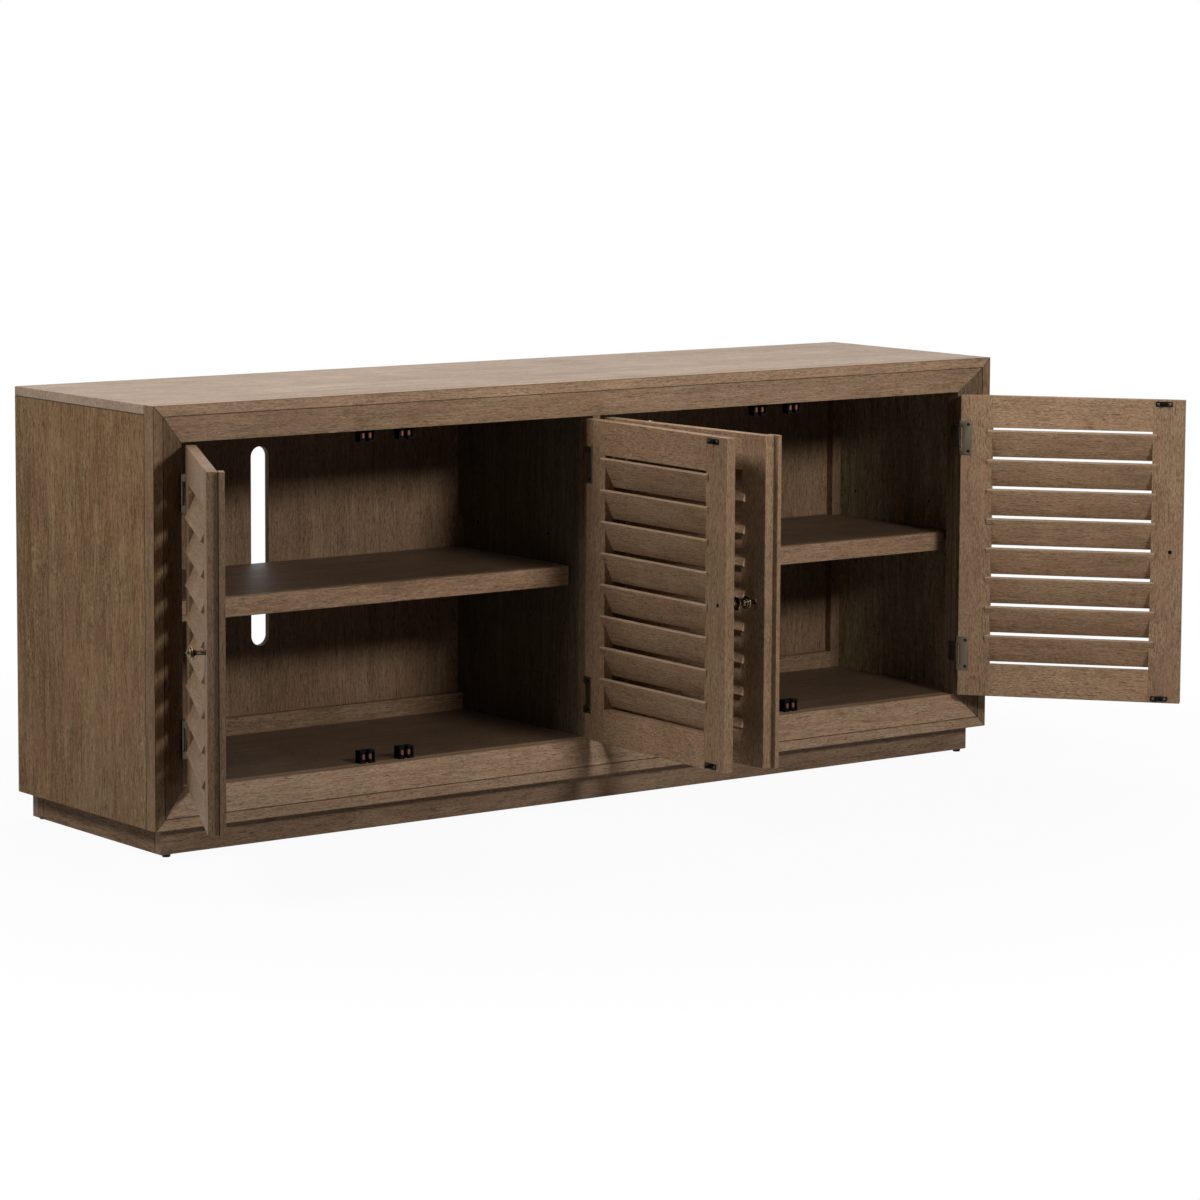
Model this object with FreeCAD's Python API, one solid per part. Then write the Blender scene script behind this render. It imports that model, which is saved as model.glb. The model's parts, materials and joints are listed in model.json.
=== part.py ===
import FreeCAD, Part
import math
import os

os.makedirs("parts", exist_ok=True)

# Low media console: a veneered case on a recessed plinth, with a bevelled front frame
# and four louvred doors, standing open. Millimetres, +X to the right, +Y to the back, +Z up.

# Case
case_width = 1829.0
case_depth = 457.0
case_height = 702.0
panel_thickness = 16.0
arris = 0.8
joint_arris = 0.3
full_turn = 360.0
rod_side_count = 12
knob_side_count = 20

# Front frame: a flat mitred band, a fine groove, and a bevel that slopes in to the opening
band_width = 18.0
band_depth = 29.0
groove_width = 1.5
groove_depth = 4.0
opening_inset = 64.0
bevel_setback = 18.0
bevel_edge_setback = 0.7
bevel_depth = 47.0
center_stile_depth = 40.0

# Back panel, its battens and cleats, and the cable ways
back_recess = 16.0
back_thickness = 12.0
batten_width = 21.0
batten_depth = 17.0
cleat_height = 31.0
slot_width = 37.0
slot_bottom_inset = 153.0
slot_top_inset = 112.0
slot_spacing = 877.0
notch_depth = 17.0
notch_height = 120.0
notch_radius = 8.0

# Plinth, the rails hidden under the floor, and the glides
plinth_height = 45.0
plinth_thickness = 18.0
plinth_end_inset = 24.5
plinth_front_inset = 25.5
plinth_back_inset = 6.0
brace_width = 60.0
rail_width = 28.0
head_rail_depth = 18.0
glide_height = 5.0
glide_radius = 8.0
glide_taper = 1.5
glide_end_inset = 16.0

# Shelves, their lips and pins
shelf_top_height = 302.0
shelf_thickness = 18.0
shelf_gap = 2.0
shelf_front_setback = 77.0
lip_height = 34.0
lip_depth = 18.0
lip_side_inset = 26.0
lip_divider_inset = 8.0
batten_clearance = 3.0
pin_radius = 2.5
pin_embed = 7.0
pin_reach = 10.0
pin_front_inset = 125.0
pin_back_inset = 102.0

# Doors: frame, louvres and meeting strips
door_thickness = 18.0
door_edge_gap = 3.0
hinge_gap = 2.5
meeting_gap = 3.0
stile_width = 59.0
rail_height = 60.0
tenon_length = 25.0
tenon_thickness = 6.0
tenon_shoulder = 8.0
slat_count = 8
slat_end_offset = 30.1
slat_width = 56.0
slat_thickness = 7.0
slat_tilt = 25.0
slat_housing = 8.0
slat_easing = 2.2
astragal_thickness = 10.0
astragal_bond = 19.0
astragal_lap = 9.0
astragal_relief = 1.0

# Wrap-around hinges
hinge_end_offset = 80.0
hinge_height = 64.0
leaf_thickness = 2.0
leaf_reach = 19.5
window_height = 39.0
window_reach = 4.0
frame_leaf_height = 36.0
frame_leaf_depth = 15.0
pin_outset = 2.0
pin_forward = 5.0
knuckle_radius = 3.5
hinge_pin_radius = 1.6
running_clearance = 0.06
knuckle_gap = 0.3

# Knobs
knob_inset = 23.0
knob_foot_radius = 6.5
knob_foot_height = 1.8
knob_neck_radius = 3.6
knob_neck_length = 17.6
knob_ring_radius = 11.7
knob_ring_height = 3.6
knob_ring_ease = 1.2
knob_step_radius = 8.8
knob_step_height = 2.9
knob_dome_radius = 5.6
knob_dome_height = 3.6

# Double-roller catches and their strikes
catch_width = 30.0
catch_depth = 17.0
catch_height = 22.0
catch_door_gap = 3.5
catch_spacing = 40.0
pocket_width = 25.0
pocket_height = 16.0
pocket_depth = 12.0
spear_way = 7.0
roller_radius = 4.0
roller_spacing = 14.0
roller_setback = 5.0
strike_width = 31.0
strike_height = 9.0
strike_thickness = 1.5
spear_length = 12.0
spear_head_length = 5.0
spear_half_width = 1.8
spear_neck_half_width = 1.1
spear_height = 6.0

# How the four doors stand open: the outer pair by angle, the inner pair by how far
# the back of each knob stands off its hinge, so that the two knobs clear each other
outer_left_angle = 117.0
outer_right_angle = 130.0
inner_left_standoff = 17.4
inner_right_standoff = 24.3

# Derived planes of the case
case_right = case_width / 2
case_left = -case_right
case_back = case_depth / 2
case_front = -case_back
case_bottom = plinth_height + glide_height
case_top = case_bottom + case_height
side_inner = case_right - panel_thickness
opening_side = case_right - opening_inset
opening_bottom = case_bottom + opening_inset
opening_top = case_top - opening_inset
top_underside = case_top - panel_thickness
floor_underside = opening_bottom - panel_thickness
divider_side = panel_thickness / 2
back_face = case_back - back_recess - back_thickness
bevel_back = case_front + bevel_depth
door_front = case_front + bevel_setback
door_back = door_front + door_thickness
plinth_side = case_right - plinth_end_inset
plinth_front = case_front + plinth_front_inset
plinth_back = case_back - plinth_back_inset
shelf_top = opening_bottom + shelf_top_height
shelf_bottom = shelf_top - shelf_thickness
shelf_front = case_front + shelf_front_setback
catch_front = door_back + catch_door_gap
compartment_center = (opening_side + divider_side) / 2

# Derived sizes of the doors
door_width = (opening_side - divider_side - 2 * hinge_gap - meeting_gap) / 2
door_height = opening_top - opening_bottom - 2 * door_edge_gap
door_bottom = opening_bottom + door_edge_gap
hinge_levels = (hinge_end_offset, door_height - hinge_end_offset)
strike_levels = (catch_height / 2 - door_edge_gap, door_height - catch_height / 2 + door_edge_gap)
knob_reach = door_width - knob_inset + hinge_gap + pin_outset
inner_left_angle = math.degrees(math.acos(inner_left_standoff / knob_reach))
inner_right_angle = math.degrees(math.acos(inner_right_standoff / knob_reach))

up = FreeCAD.Vector(0, 0, 1)
right = FreeCAD.Vector(1, 0, 0)
backward = FreeCAD.Vector(0, 1, 0)
origin = FreeCAD.Vector(0, 0, 0)


def block(x, y, z):
    """A box between the given pairs of planes."""
    low = FreeCAD.Vector(min(x), min(y), min(z))
    return Part.makeBox(abs(x[1] - x[0]), abs(y[1] - y[0]), abs(z[1] - z[0]), low)


def eased(shape, size=arris):
    """The shape with all its sharp edges taken off."""
    return shape.makeChamfer(size, shape.Edges)


def prism(points, direction):
    """A solid swept from a closed outline."""
    vertices = [FreeCAD.Vector(*point) for point in points]
    return Part.Face(Part.makePolygon(vertices + vertices[:1])).extrude(direction)


def rod(radius, length, base, axis):
    return Part.makeCylinder(radius, length, base, axis)


def corners(radius, center, axis, flats):
    """The corners of a regular outline round an axis, used in place of a circle on small pieces."""
    spoke = (right if axis.z else up) * radius
    turn = FreeCAD.Rotation(axis, full_turn / flats)
    points = []
    for number in range(flats):
        points.append(center + spoke)
        spoke = turn.multVec(spoke)
    return points + points[:1]


def facetted_rod(radius, length, base, axis):
    return Part.Face(Part.makePolygon(corners(radius, base, axis, rod_side_count))).extrude(axis * length)


def turned(outline, base, axis, flats):
    """A turned piece; the outline gives pairs of radius and distance along the axis."""
    rings = [corners(radius, base + axis * along, axis, flats) for radius, along in outline]
    faces = [Part.Face(Part.makePolygon(rings[0])), Part.Face(Part.makePolygon(rings[-1]))]
    for near, far in zip(rings, rings[1:]):
        for first, second in zip(range(flats), range(1, flats + 1)):
            loop = [near[first], near[second], far[second], far[first], near[first]]
            faces.append(Part.Face(Part.makePolygon(loop)))
    shell = Part.Shell(faces)
    shell.sewShape()
    return Part.Solid(shell).removeSplitter()


def mirrored(shape):
    return shape.mirror(origin, right)


def both_sides(shape):
    return [shape, mirrored(shape)]


def save(name, shapes):
    """Writes one node, a single solid or a group of them."""
    if not isinstance(shapes, list):
        shapes = [shapes]
    whole = shapes[0] if len(shapes) == 1 else Part.makeCompound(shapes)
    whole.exportStep(os.path.join("parts", name + ".step"))


# Case panels

def shelf_pin_rods(face_x, outward, reach):
    """Pins set in a panel's face, one at the front and one at the back, standing out by reach."""
    level = shelf_bottom - pin_radius
    start = face_x - outward * pin_embed
    pins = []
    for place in (case_front + pin_front_inset, case_back - pin_back_inset):
        base = FreeCAD.Vector(start, place, level)
        pins.append(facetted_rod(pin_radius, pin_embed + reach, base, right * outward))
    return pins


def top_panel():
    return eased(
        block(
            (case_left, case_right),
            (case_front + band_depth, case_back),
            (top_underside, case_top),
        )
    )


def side_panel():
    """The right side panel, with the holes of its shelf pins."""
    panel = block(
        (side_inner, case_right),
        (case_front + band_depth, case_back),
        (case_bottom, top_underside),
    )
    return eased(panel).cut(shelf_pin_rods(side_inner, -1, 0))


def bottom_panel():
    return eased(
        block(
            (-side_inner, side_inner),
            (bevel_back, case_back),
            (floor_underside, opening_bottom),
        )
    )


def notch_shape():
    """The cable notch at the divider's back edge, with rounded front corners."""
    tall = block(
        (-divider_side, divider_side),
        (back_face - notch_depth, back_face + notch_depth),
        (shelf_top - notch_height / 2, shelf_top + notch_height / 2),
    )
    return tall.makeFillet(notch_radius, [edge for edge in tall.Edges if abs(edge.BoundBox.XLength) > arris])


def center_divider():
    panel = eased(
        block(
            (-divider_side, divider_side),
            (door_front + center_stile_depth, back_face),
            (opening_bottom, top_underside),
        )
    )
    holes = shelf_pin_rods(divider_side, 1, 0) + shelf_pin_rods(-divider_side, -1, 0)
    return panel.cut(holes + [notch_shape()])


def center_stile():
    stile = block(
        (-divider_side, divider_side),
        (door_front, door_front + center_stile_depth),
        (opening_bottom, opening_top),
    )
    return eased(stile)


def slot_shape(center_x):
    """A tall cable way with round ends, through the back panel."""
    radius = slot_width / 2
    near = back_face - back_thickness
    far = back_face + 2 * back_thickness
    ends = (opening_bottom + slot_bottom_inset + radius, top_underside - slot_top_inset - radius)
    shaft = block((center_x - radius, center_x + radius), (near, far), ends)
    for height in ends:
        shaft = shaft.fuse(rod(radius, far - near, FreeCAD.Vector(center_x, near, height), backward))
    return shaft


def back_panel():
    panel = eased(
        block(
            (-side_inner, side_inner),
            (back_face, back_face + back_thickness),
            (opening_bottom, top_underside),
        )
    )
    return panel.cut([slot_shape(-slot_spacing / 2), slot_shape(slot_spacing / 2)])


def back_battens():
    """Upright battens in the back corners."""
    batten = block(
        (side_inner - batten_width, side_inner),
        (back_face - batten_depth, back_face),
        (opening_bottom, top_underside),
    )
    return both_sides(batten)


def back_cleats():
    """Low cleats between the divider and the battens."""
    cleat = block(
        (divider_side, side_inner - batten_width),
        (back_face - batten_depth, back_face),
        (opening_bottom, opening_bottom + cleat_height),
    )
    return both_sides(cleat)


# Front frame

def frame_member(section, side):
    """A member whose section is given as (distance in from the case's edge, setback from its front)."""
    if side in ("top", "bottom"):
        edge, sense = (case_top, -1) if side == "top" else (case_bottom, 1)
        points = [(case_left, case_front + setback, edge + sense * inward) for inward, setback in section]
        return prism(points, right * case_width)
    edge, sense = (case_left, 1) if side == "left" else (case_right, -1)
    points = [(edge + sense * inward, case_front + setback, case_bottom) for inward, setback in section]
    return prism(points, up * case_height)


def mitre_wedge(side):
    """The part of the frame that one side's member may fill, cut at 45 degrees at both ends."""
    reach = opening_inset
    outer = {
        "left": (case_left, case_bottom),
        "top": (case_left, case_top),
        "right": (case_right, case_top),
        "bottom": (case_right, case_bottom),
    }
    inner = {
        "left": (case_left + reach, case_bottom + reach),
        "top": (case_left + reach, case_top - reach),
        "right": (case_right - reach, case_top - reach),
        "bottom": (case_right - reach, case_bottom + reach),
    }
    order = list(outer)
    following = order[(order.index(side) + 1) % len(order)]
    corners = [outer[side], outer[following], inner[following], inner[side]]
    return prism([(x, case_front, z) for x, z in corners], backward * case_depth)


def frame_pair(section, sides):
    return [frame_member(section, side).common(mitre_wedge(side)).Solids[0] for side in sides]


def band_section():
    return [
        (0, 0),
        (band_width, 0),
        (band_width, band_depth),
        (0, band_depth),
    ]


def bevel_section():
    """The bevel's sloping face, its return into the opening, and its back against the case."""
    return [
        (band_width + groove_width, bevel_edge_setback),
        (opening_inset, bevel_setback),
        (opening_inset, bevel_depth),
        (panel_thickness, bevel_depth),
        (panel_thickness, band_depth),
        (band_width, band_depth),
        (band_width, groove_depth),
        (band_width + groove_width, groove_depth),
    ]


# Rails hidden behind the frame and under the floor, the plinth and its glides

def hidden_rails():
    """Rails that carry the floor, tie the case to the plinth and back the top of the frame."""
    front_rail = block(
        (-side_inner, side_inner),
        (case_front + band_depth, bevel_back),
        (case_bottom, case_bottom + panel_thickness),
    )
    head_rail = block(
        (divider_side, side_inner),
        (bevel_back, bevel_back + head_rail_depth),
        (opening_top, top_underside),
    )
    back_rail = block(
        (-side_inner, side_inner),
        (case_back - rail_width, case_back),
        (case_bottom, floor_underside),
    )
    end_rail = block(
        (side_inner - rail_width, side_inner),
        (bevel_back, case_back - rail_width),
        (case_bottom, floor_underside),
    )
    middle_rail = block(
        (-rail_width / 2, rail_width / 2),
        (bevel_back, case_back - rail_width),
        (case_bottom, floor_underside),
    )
    return [front_rail, back_rail, middle_rail] + both_sides(head_rail) + both_sides(end_rail)


def plinth_long_boards():
    """The front and back boards; they overlap the ends of the end boards."""
    boards = []
    for low, high in (
        (plinth_front, plinth_front + plinth_thickness),
        (plinth_back - plinth_thickness, plinth_back),
    ):
        boards.append(eased(block((-plinth_side, plinth_side), (low, high), (glide_height, case_bottom))))
    return boards


def plinth_end_boards():
    board = block(
        (plinth_side - plinth_thickness, plinth_side),
        (plinth_front + plinth_thickness, plinth_back - plinth_thickness),
        (glide_height, case_bottom),
    )
    return both_sides(eased(board))


def plinth_brace():
    """The board across the middle of the plinth, under the divider."""
    return eased(
        block(
            (-brace_width / 2, brace_width / 2),
            (plinth_front + plinth_thickness, plinth_back - plinth_thickness),
            (glide_height, case_bottom),
        )
    )


def floor_glides():
    """Round glides under the plinth's corners and one under the middle of the brace."""
    corner_x = plinth_side - glide_end_inset
    front_y = plinth_front + plinth_thickness / 2
    back_y = plinth_back - plinth_thickness / 2
    spots = [(0, 0)]
    spots += [(x, y) for x in (-corner_x, corner_x) for y in (front_y, back_y)]
    outline = [(glide_radius - glide_taper, 0), (glide_radius, glide_height)]
    return [turned(outline, FreeCAD.Vector(x, y, 0), up, rod_side_count) for x, y in spots]


# Shelves

def shelf_panel():
    """The right shelf, notched round the batten in the back corner."""
    panel = eased(
        block(
            (divider_side + shelf_gap, side_inner - shelf_gap),
            (shelf_front + lip_depth, back_face - shelf_gap),
            (shelf_bottom, shelf_top),
        )
    )
    notch = block(
        (side_inner - batten_width - batten_clearance, side_inner),
        (back_face - batten_depth - batten_clearance, back_face),
        (shelf_bottom, shelf_top),
    )
    return panel.cut(notch)


def shelf_lips():
    """Deep front lips, shorter than the shelves so that they pass the hinge stiles."""
    lip = block(
        (divider_side + lip_divider_inset, side_inner - lip_side_inset),
        (shelf_front, shelf_front + lip_depth),
        (shelf_top - lip_height, shelf_top),
    )
    return both_sides(eased(lip))


def shelf_pins():
    pins = shelf_pin_rods(side_inner, -1, pin_reach) + shelf_pin_rods(divider_side, 1, pin_reach)
    return pins + [mirrored(pin) for pin in pins]


# Double-roller catches, two to each door

def catch_spots():
    """Where the catches are fixed: x, z of the fixing face, and the way they stand from it."""
    spots = []
    for center in (-compartment_center, compartment_center):
        for offset in (-catch_spacing, catch_spacing):
            spots.append((center + offset, opening_bottom, 1))
            spots.append((center + offset, opening_top, -1))
    return spots


def catch_housings():
    """Two prongs that hold the rollers, with an open way for the strike's spear between them."""
    housings = []
    for x, face, sense in catch_spots():
        case = block(
            (x - catch_width / 2, x + catch_width / 2),
            (catch_front, catch_front + catch_depth),
            (face, face + sense * catch_height),
        )
        middle = face + sense * catch_height / 2
        pocket = block(
            (x - pocket_width / 2, x + pocket_width / 2),
            (catch_front, catch_front + pocket_depth),
            (middle - pocket_height / 2, middle + pocket_height / 2),
        )
        way = block(
            (x - spear_way / 2, x + spear_way / 2),
            (catch_front, catch_front + pocket_depth),
            (face, face + sense * catch_height),
        )
        housings.append(case.cut([pocket, way]))
    return housings


def catch_rollers():
    rollers = []
    for x, face, sense in catch_spots():
        low = face + sense * catch_height / 2 - pocket_height / 2
        for offset in (-roller_spacing / 2, roller_spacing / 2):
            base = FreeCAD.Vector(x + offset, catch_front + roller_setback, low)
            rollers.append(facetted_rod(roller_radius, pocket_height, base, up))
    return rollers


# Doors. Each is built closed, with its hinge edge at x = 0, its front face at y = 0
# and its lower edge at z = 0, then placed and swung open.

doors = {
    "outer_left": (-opening_side, 1, outer_left_angle),
    "inner_left": (-divider_side, -1, inner_left_angle),
    "inner_right": (divider_side, 1, inner_right_angle),
    "outer_right": (opening_side, -1, outer_right_angle),
}
hinge_pin_x = -hinge_gap - pin_outset
hinge_pin_y = -pin_forward


def placed(shape, door, open_door=True):
    """Moves a shape from the door's own frame into the case's, swung open or left closed."""
    edge, side, angle = doors[door]
    moved = shape.copy() if side > 0 else mirrored(shape)
    moved.translate(FreeCAD.Vector(edge + side * hinge_gap, door_front, door_bottom))
    if open_door:
        pin = FreeCAD.Vector(edge - side * pin_outset, door_front - pin_forward, door_bottom)
        moved.rotate(pin, up, -side * angle)
    return moved


def slat_shape(level):
    """A louvre slat with eased edges; its upper edge leans to the back of the door."""
    tilt = math.radians(slat_tilt)
    along = FreeCAD.Vector(0, math.sin(tilt), math.cos(tilt))
    across = FreeCAD.Vector(0, math.cos(tilt), -math.sin(tilt))
    start = stile_width - slat_housing
    center = FreeCAD.Vector(start, door_thickness / 2, level)
    half_width = slat_width / 2
    half_thickness = slat_thickness / 2
    outline = []
    for rise, lean in ((1, 1), (-1, 1), (-1, -1), (1, -1)):
        end = center + along * (rise * half_width) + across * (lean * (half_thickness - slat_easing))
        face = center + along * (rise * (half_width - slat_easing)) + across * (lean * half_thickness)
        outline += [end, face] if rise == lean else [face, end]
    return prism(outline, right * (door_width - 2 * start))


def louvre_slats():
    first = rail_height + slat_end_offset
    pitch = (door_height - 2 * first) / (slat_count - 1)
    return [slat_shape(first + number * pitch) for number in range(slat_count)]


def door_rail(low):
    """A rail with a stub tenon at each end."""
    bar = block((stile_width, door_width - stile_width), (0, door_thickness), (low, low + rail_height))
    long_edges = [edge for edge in bar.Edges if edge.BoundBox.XLength > rail_height]
    tenon = block(
        (stile_width - tenon_length, door_width - stile_width + tenon_length),
        ((door_thickness - tenon_thickness) / 2, (door_thickness + tenon_thickness) / 2),
        (low + tenon_shoulder, low + rail_height - tenon_shoulder),
    )
    return bar.makeChamfer(arris, long_edges).fuse(tenon)


def door_rails():
    return [door_rail(0), door_rail(door_height - rail_height)]


def door_stile(low, cutters):
    """An upright of the door frame, mortised for the rails and housed for the slats."""
    bar = block((low, low + stile_width), (0, door_thickness), (0, door_height))
    joint_side = stile_width if low == 0 else low
    joint_edges = [
        edge
        for edge in bar.Edges
        if edge.BoundBox.ZLength > stile_width and abs(edge.BoundBox.XMin - joint_side) < joint_arris
    ]
    bar = bar.makeChamfer(joint_arris, joint_edges)
    outer_side = low if low == 0 else low + stile_width
    outer_edges = [
        edge
        for edge in bar.Edges
        if edge.BoundBox.XLength > stile_width / 2 or abs(edge.BoundBox.XMin - outer_side) < joint_arris
    ]
    return bar.makeChamfer(arris, outer_edges).cut(cutters)


def astragal():
    """The strip behind the free edge that laps over the neighbouring door."""
    inner = door_width - astragal_bond
    outer = door_width + astragal_lap
    back = door_thickness + astragal_thickness
    outline = [
        (inner, door_thickness, 0),
        (door_width, door_thickness, 0),
        (door_width, door_thickness + astragal_relief, 0),
        (outer, door_thickness + astragal_relief, 0),
        (outer, back - arris, 0),
        (outer - arris, back, 0),
        (inner + arris, back, 0),
        (inner, back - arris, 0),
    ]
    return prism(outline, up * door_height)


# Hinges, in the door's own frame

def hinge_post(radius, low, high):
    """A round rod on the hinge's axis."""
    return rod(radius, high - low, FreeCAD.Vector(hinge_pin_x, hinge_pin_y, low), up)


def knuckle(low, high):
    """A length of the hinge's barrel, with a few flats in place of its round side."""
    base = FreeCAD.Vector(hinge_pin_x, hinge_pin_y, low)
    return facetted_rod(knuckle_radius, high - low, base, up)


def door_leaf(level):
    """The leaf that wraps the door's edge and turns on to its back, with the end knuckles and the pin."""
    low = level - hinge_height / 2
    high = level + hinge_height / 2
    back = door_thickness + leaf_thickness
    edge_plate = block((-leaf_thickness, 0), (hinge_pin_y, back), (low, high))
    back_plate = block((-leaf_thickness, leaf_reach), (door_thickness, back), (low, high))
    window = block(
        (hinge_pin_x - knuckle_radius, window_reach),
        (hinge_pin_y - knuckle_radius, back),
        (level - window_height / 2, level + window_height / 2),
    )
    leaf = edge_plate.fuse([back_plate, knuckle(low, high)]).cut(window)
    return leaf.fuse(hinge_post(hinge_pin_radius, low, high)).removeSplitter()


def frame_leaf(level):
    """The leaf on the case, which nests in the door leaf's window, with the middle knuckle."""
    plate = block(
        (-hinge_gap, leaf_thickness - hinge_gap),
        (hinge_pin_y, frame_leaf_depth),
        (level - frame_leaf_height / 2, level + frame_leaf_height / 2),
    )
    reach = window_height / 2 - knuckle_gap
    bore = hinge_post(hinge_pin_radius + running_clearance, level - reach, level + reach)
    return plate.fuse(knuckle(level - reach, level + reach)).cut(bore).removeSplitter()


# Knob

def knob():
    """A ringed knob on a slim neck, turned about an axis square to the door's front."""
    neck_end = knob_foot_height + knob_neck_length
    ring_end = neck_end + knob_ring_height
    step_end = ring_end + knob_step_height
    dome_end = step_end + knob_dome_height
    eased_radius = knob_ring_radius - knob_ring_ease
    crown_radius = knob_dome_radius / 2
    crown = dome_end - knob_ring_ease / 2
    outline = [
        (knob_foot_radius, 0),
        (knob_neck_radius, knob_foot_height),
        (knob_neck_radius, neck_end),
        (eased_radius, neck_end),
        (knob_ring_radius, neck_end + knob_ring_ease),
        (knob_ring_radius, ring_end - knob_ring_ease),
        (eased_radius, ring_end),
        (knob_step_radius, ring_end),
        (knob_step_radius, step_end),
        (knob_dome_radius, step_end),
        (crown_radius, crown),
        (knob_ring_ease / 2, dome_end),
    ]
    base = FreeCAD.Vector(door_width - knob_inset, 0, door_height / 2)
    return turned(outline, base, -backward, knob_side_count)


# Strikes

def strike(level):
    """A small plate with an arrow-headed tongue that parts the catch's rollers."""
    x = door_width + meeting_gap / 2 - catch_spacing
    face = door_thickness
    plate = block(
        (x - strike_width / 2, x + strike_width / 2),
        (face, face + strike_thickness),
        (level - strike_height / 2, level + strike_height / 2),
    )
    tip = face + strike_thickness + spear_length
    shoulder = tip - spear_head_length
    outline = [
        (-spear_neck_half_width, face),
        (spear_neck_half_width, face),
        (spear_neck_half_width, shoulder),
        (spear_half_width, shoulder),
        (0, tip),
        (-spear_half_width, shoulder),
        (-spear_neck_half_width, shoulder),
    ]
    low = level - spear_height / 2
    tongue = prism([(x + offset, y, low) for offset, y in outline], up * spear_height)
    return plate.fuse(tongue)


def save_door(name, has_astragal):
    """Writes every node of one door."""
    rails = door_rails()
    slats = louvre_slats()
    nodes = {
        "hinge_stile": [door_stile(0, rails + slats)],
        "free_stile": [door_stile(door_width - stile_width, rails + slats)],
        "rails": rails,
        "louvers": slats,
        "knob": [knob()],
        "hinge_leaves": [door_leaf(level) for level in hinge_levels],
        "strikes": [strike(level) for level in strike_levels],
    }
    if has_astragal:
        nodes["astragal"] = [astragal()]
    for node, shapes in nodes.items():
        save(name + "_" + node, [placed(shape, name) for shape in shapes])


def hinge_frame_leaves():
    """The leaves that stay with the case, two beside each door."""
    return [placed(frame_leaf(level), door, False) for door in doors for level in hinge_levels]


save("top_panel", top_panel())
save("left_side_panel", mirrored(side_panel()))
save("right_side_panel", side_panel())
save("bottom_panel", bottom_panel())
save("center_divider", center_divider())
save("center_stile", center_stile())
save("back_panel", back_panel())
save("back_battens", back_battens())
save("back_cleats", back_cleats())
save("band_rails", frame_pair(band_section(), ("top", "bottom")))
save("band_stiles", frame_pair(band_section(), ("left", "right")))
save("bevel_rails", frame_pair(bevel_section(), ("top", "bottom")))
save("bevel_stiles", frame_pair(bevel_section(), ("left", "right")))
save("hidden_rails", hidden_rails())
save("plinth_long_boards", plinth_long_boards())
save("plinth_end_boards", plinth_end_boards())
save("plinth_brace", plinth_brace())
save("floor_glides", floor_glides())
save("left_shelf", mirrored(shelf_panel()))
save("right_shelf", shelf_panel())
save("shelf_lips", shelf_lips())
save("shelf_pins", shelf_pins())
save("catch_housings", catch_housings())
save("catch_rollers", catch_rollers())
save("hinge_frame_leaves", hinge_frame_leaves())

for door_name in doors:
    save_door(door_name, door_name in ("outer_left", "inner_right"))
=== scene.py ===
import json
import math

import bmesh
import bpy
from bpy.props import FloatProperty, FloatVectorProperty, IntProperty, PointerProperty
from mathutils import Matrix, Vector


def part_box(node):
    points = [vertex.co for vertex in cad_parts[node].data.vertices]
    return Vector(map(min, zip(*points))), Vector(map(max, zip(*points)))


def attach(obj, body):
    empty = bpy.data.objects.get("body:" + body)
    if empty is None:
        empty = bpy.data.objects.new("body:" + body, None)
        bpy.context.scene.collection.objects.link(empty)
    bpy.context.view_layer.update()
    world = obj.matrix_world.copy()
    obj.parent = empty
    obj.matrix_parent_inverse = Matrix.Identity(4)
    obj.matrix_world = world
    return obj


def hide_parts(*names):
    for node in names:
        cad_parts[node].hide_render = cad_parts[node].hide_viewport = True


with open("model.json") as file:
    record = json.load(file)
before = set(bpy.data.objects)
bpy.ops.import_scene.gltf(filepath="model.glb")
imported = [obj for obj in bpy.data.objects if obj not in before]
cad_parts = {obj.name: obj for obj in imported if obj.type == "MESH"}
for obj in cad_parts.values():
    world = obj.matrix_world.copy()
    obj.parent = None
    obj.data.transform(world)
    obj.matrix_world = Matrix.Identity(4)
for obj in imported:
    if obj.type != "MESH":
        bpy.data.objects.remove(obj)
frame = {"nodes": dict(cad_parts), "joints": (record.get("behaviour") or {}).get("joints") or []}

bl_info = {
    "name": "Louvred Media Console",
    "version": (1, 0, 0),
    "blender": (4, 5, 0),
    "location": "View3D > Sidebar > Console",
    "description": "Dresses a louvred media console in stained oak with its fittings, in a plain studio",
    "category": "Object",
}

mm = 0.001
quarter = math.radians(90)
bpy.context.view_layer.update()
door_names = ("outer_left", "inner_left", "inner_right", "outer_right")

# Places that follow from the frame
case_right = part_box("right_side_panel")[1].x
side_middle = (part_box("right_side_panel")[0].x + case_right) / 2
case_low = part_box("right_side_panel")[0].z
case_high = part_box("top_panel")[1].z
case_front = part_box("band_rails")[0].y
panel_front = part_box("band_rails")[1].y
top_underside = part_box("top_panel")[0].z
plinth_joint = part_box("plinth_end_boards")[0].y

# The doors' oak: tone of each door, partly its own and partly painted light and shade for how brightly
# each door is lit; hue of all; and painted light that makes the rails and slats lighter than the stiles
door_tones_and_painted_light = {"outer_left": 0.85, "inner_left": 1.21, "inner_right": 1.33, "outer_right": 1.36}
door_tint = (1, 1.03, 1.05)
level_painted_light = 1.15

# Dark joint lines: where they start to fade, counted from their middle, and where they end
joint_line = (0.5 * mm, 1.6 * mm)
arris_line = (0.6 * mm, 1.5 * mm)
seat_line = (0.4 * mm, 1.5 * mm)
lap_line = (0.5 * mm, 1.8 * mm)
strip_seat_line = (0.5 * mm, 1.3 * mm)
line_strength = 0.9

# Screw heads: their radius, and how far they rise as a share of it
leaf_screw = (3.1 * mm, 0.32)
strike_screw = (2.6 * mm, 0.25)
case_screw = (2.3 * mm, 0.18)

# Hinge pins: radius of the knuckles round them, their caps, and the gap between knuckles
knuckle_radius = 3.52 * mm
cap_radius = 2.6 * mm
cap_height = 1.4 * mm
knuckle_gap = 0.3 * mm

# Properties of one kind

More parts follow.
